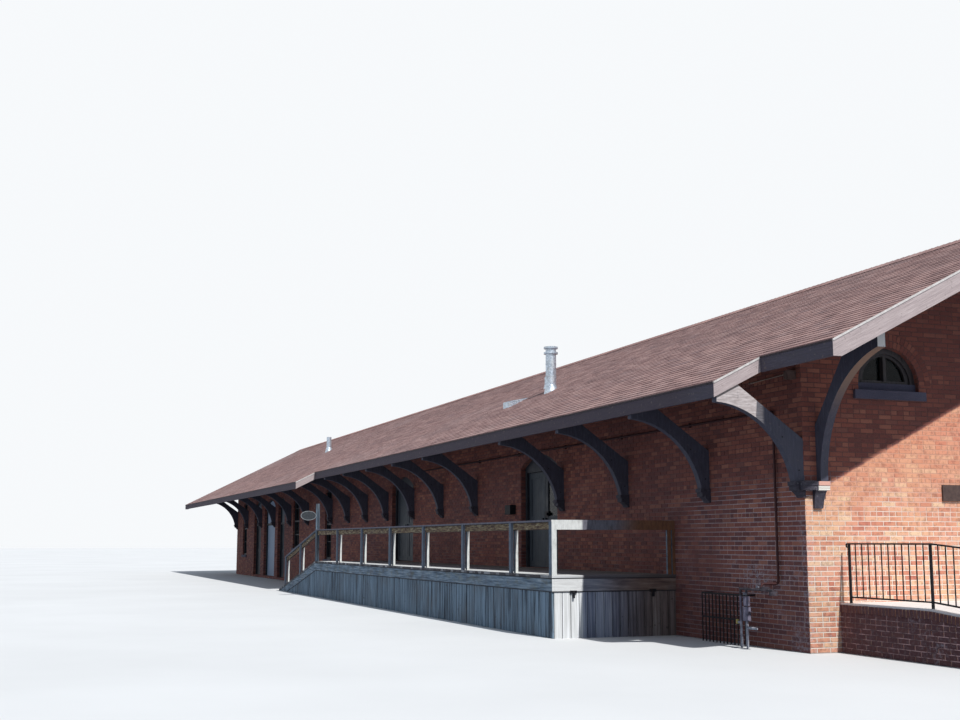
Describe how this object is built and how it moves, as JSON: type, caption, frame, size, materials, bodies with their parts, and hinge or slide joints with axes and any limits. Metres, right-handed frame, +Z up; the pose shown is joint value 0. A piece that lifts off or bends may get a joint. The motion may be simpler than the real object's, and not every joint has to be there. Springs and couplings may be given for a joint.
{
  "type": "railway station building, 1:2 scale model",
  "caption": "Long brick station and freight house with a stepped-eave gable roof on curved knee brackets, a timber platform and a brick ramp, at half size.",
  "frame": {"origin": "on the ground under the middle of the four walls, on the underside of the middle sleeper wall", "axes": "+X along the building to the near gable with the brick ramp, -Y to the track and the timber platform, +Z up"},
  "size_m": [28.965, 6.043, 3.1052],
  "materials": {
    "brick": "matte",
    "concrete": "matte",
    "shingles": "matte",
    "roof_trim": "matte",
    "bracket_timber": "matte",
    "deck_timber": "matte",
    "floor_timber": "matte",
    "joinery": "satin",
    "grey_doors": "satin",
    "white_door": "satin",
    "glass": "gloss",
    "black_iron": "satin",
    "galvanised": "satin",
    "grey_metal": "satin"
  },
  "bodies": {
    "building": {"back_brackets": "bracket_timber", "back_wall": "brick", "bracket_corbels": "concrete", "door_frames": "joinery", "eave_fascias": "roof_trim", "far_gable": "brick", "far_gable_lookouts": "roof_trim", "fixed_doors": "grey_doors", "floor_sleeper_walls": "brick", "freight_floor": "floor_timber", "gable_brackets": "bracket_timber", "gable_plaque": "black_iron", "gable_ramp_slab": "concrete", "gable_ramp_walls": "brick", "gas_meter": "grey_metal", "landing_railing": "black_iron", "lunette_frames": "joinery", "lunette_glass": "glass", "near_gable": "brick", "oval_sign": "grey_metal", "passenger_floor": "concrete", "platform_deck": "deck_timber", "platform_frame": "deck_timber", "platform_rail": "deck_timber", "platform_rim": "deck_timber", "platform_skirt": "deck_timber", "rake_boards": "roof_trim", "ramp_railing": "black_iron", "ridge_cap": "shingles", "roof_back_slope": "shingles", "roof_flue": "galvanised", "roof_track_slope": "shingles", "roof_vents": "galvanised", "sign_post": "deck_timber", "track_brackets": "bracket_timber", "track_wall_far": "brick", "track_wall_middle": "brick", "track_wall_near": "brick", "track_wall_over_doors": "brick", "track_wall_under_doors": "brick", "track_wall_windows": "brick", "transom_panels": "grey_doors", "wall_guard": "black_iron", "wall_lamps": "grey_metal", "wall_pipe": "black_iron", "window_frames": "joinery", "window_glass": "glass", "window_sills": "concrete"},
    "first_door_far_leaf": {"first_door_far_leaf": "grey_doors"},
    "first_door_near_leaf": {"first_door_near_leaf": "grey_doors", "first_door_near_leaf_glass": "glass"},
    "second_door_far_leaf": {"second_door_far_leaf": "grey_doors"},
    "second_door_near_leaf": {"second_door_near_leaf": "grey_doors"},
    "grey_door_leaf": {"grey_door_leaf": "grey_doors"},
    "white_door_leaf": {"white_door_leaf": "white_door"},
    "dark_door_leaf": {"dark_door_leaf": "grey_doors"}
  },
  "joints": [
    {"name": "first_door_far_hinge", "type": "hinge", "parent": "building", "child": "first_door_far_leaf", "pos_m": [6.3445, -1.767, 0.97], "axis": [0, 0, 1], "range_deg": [0, 88]},
    {"name": "first_door_near_hinge", "type": "hinge", "parent": "building", "child": "first_door_near_leaf", "pos_m": [7.2005, -1.767, 0.97], "axis": [0, 0, -1], "range_deg": [0, 88]},
    {"name": "second_door_far_hinge", "type": "hinge", "parent": "building", "child": "second_door_far_leaf", "pos_m": [1.5445, -1.767, 0.97], "axis": [0, 0, 1], "range_deg": [0, 88]},
    {"name": "second_door_near_hinge", "type": "hinge", "parent": "building", "child": "second_door_near_leaf", "pos_m": [2.4555, -1.767, 0.97], "axis": [0, 0, -1], "range_deg": [0, 88]},
    {"name": "grey_door_hinge", "type": "hinge", "parent": "building", "child": "grey_door_leaf", "pos_m": [-6.5305, -1.767, 0.5675], "axis": [0, 0, 1], "range_deg": [0, 88]},
    {"name": "white_door_hinge", "type": "hinge", "parent": "building", "child": "white_door_leaf", "pos_m": [-7.9805, -1.767, 0.5675], "axis": [0, 0, 1], "range_deg": [0, 88]},
    {"name": "dark_door_hinge", "type": "hinge", "parent": "building", "child": "dark_door_leaf", "pos_m": [-9.1305, -1.767, 0.5675], "axis": [0, 0, 1], "range_deg": [0, 88]}
  ]
}
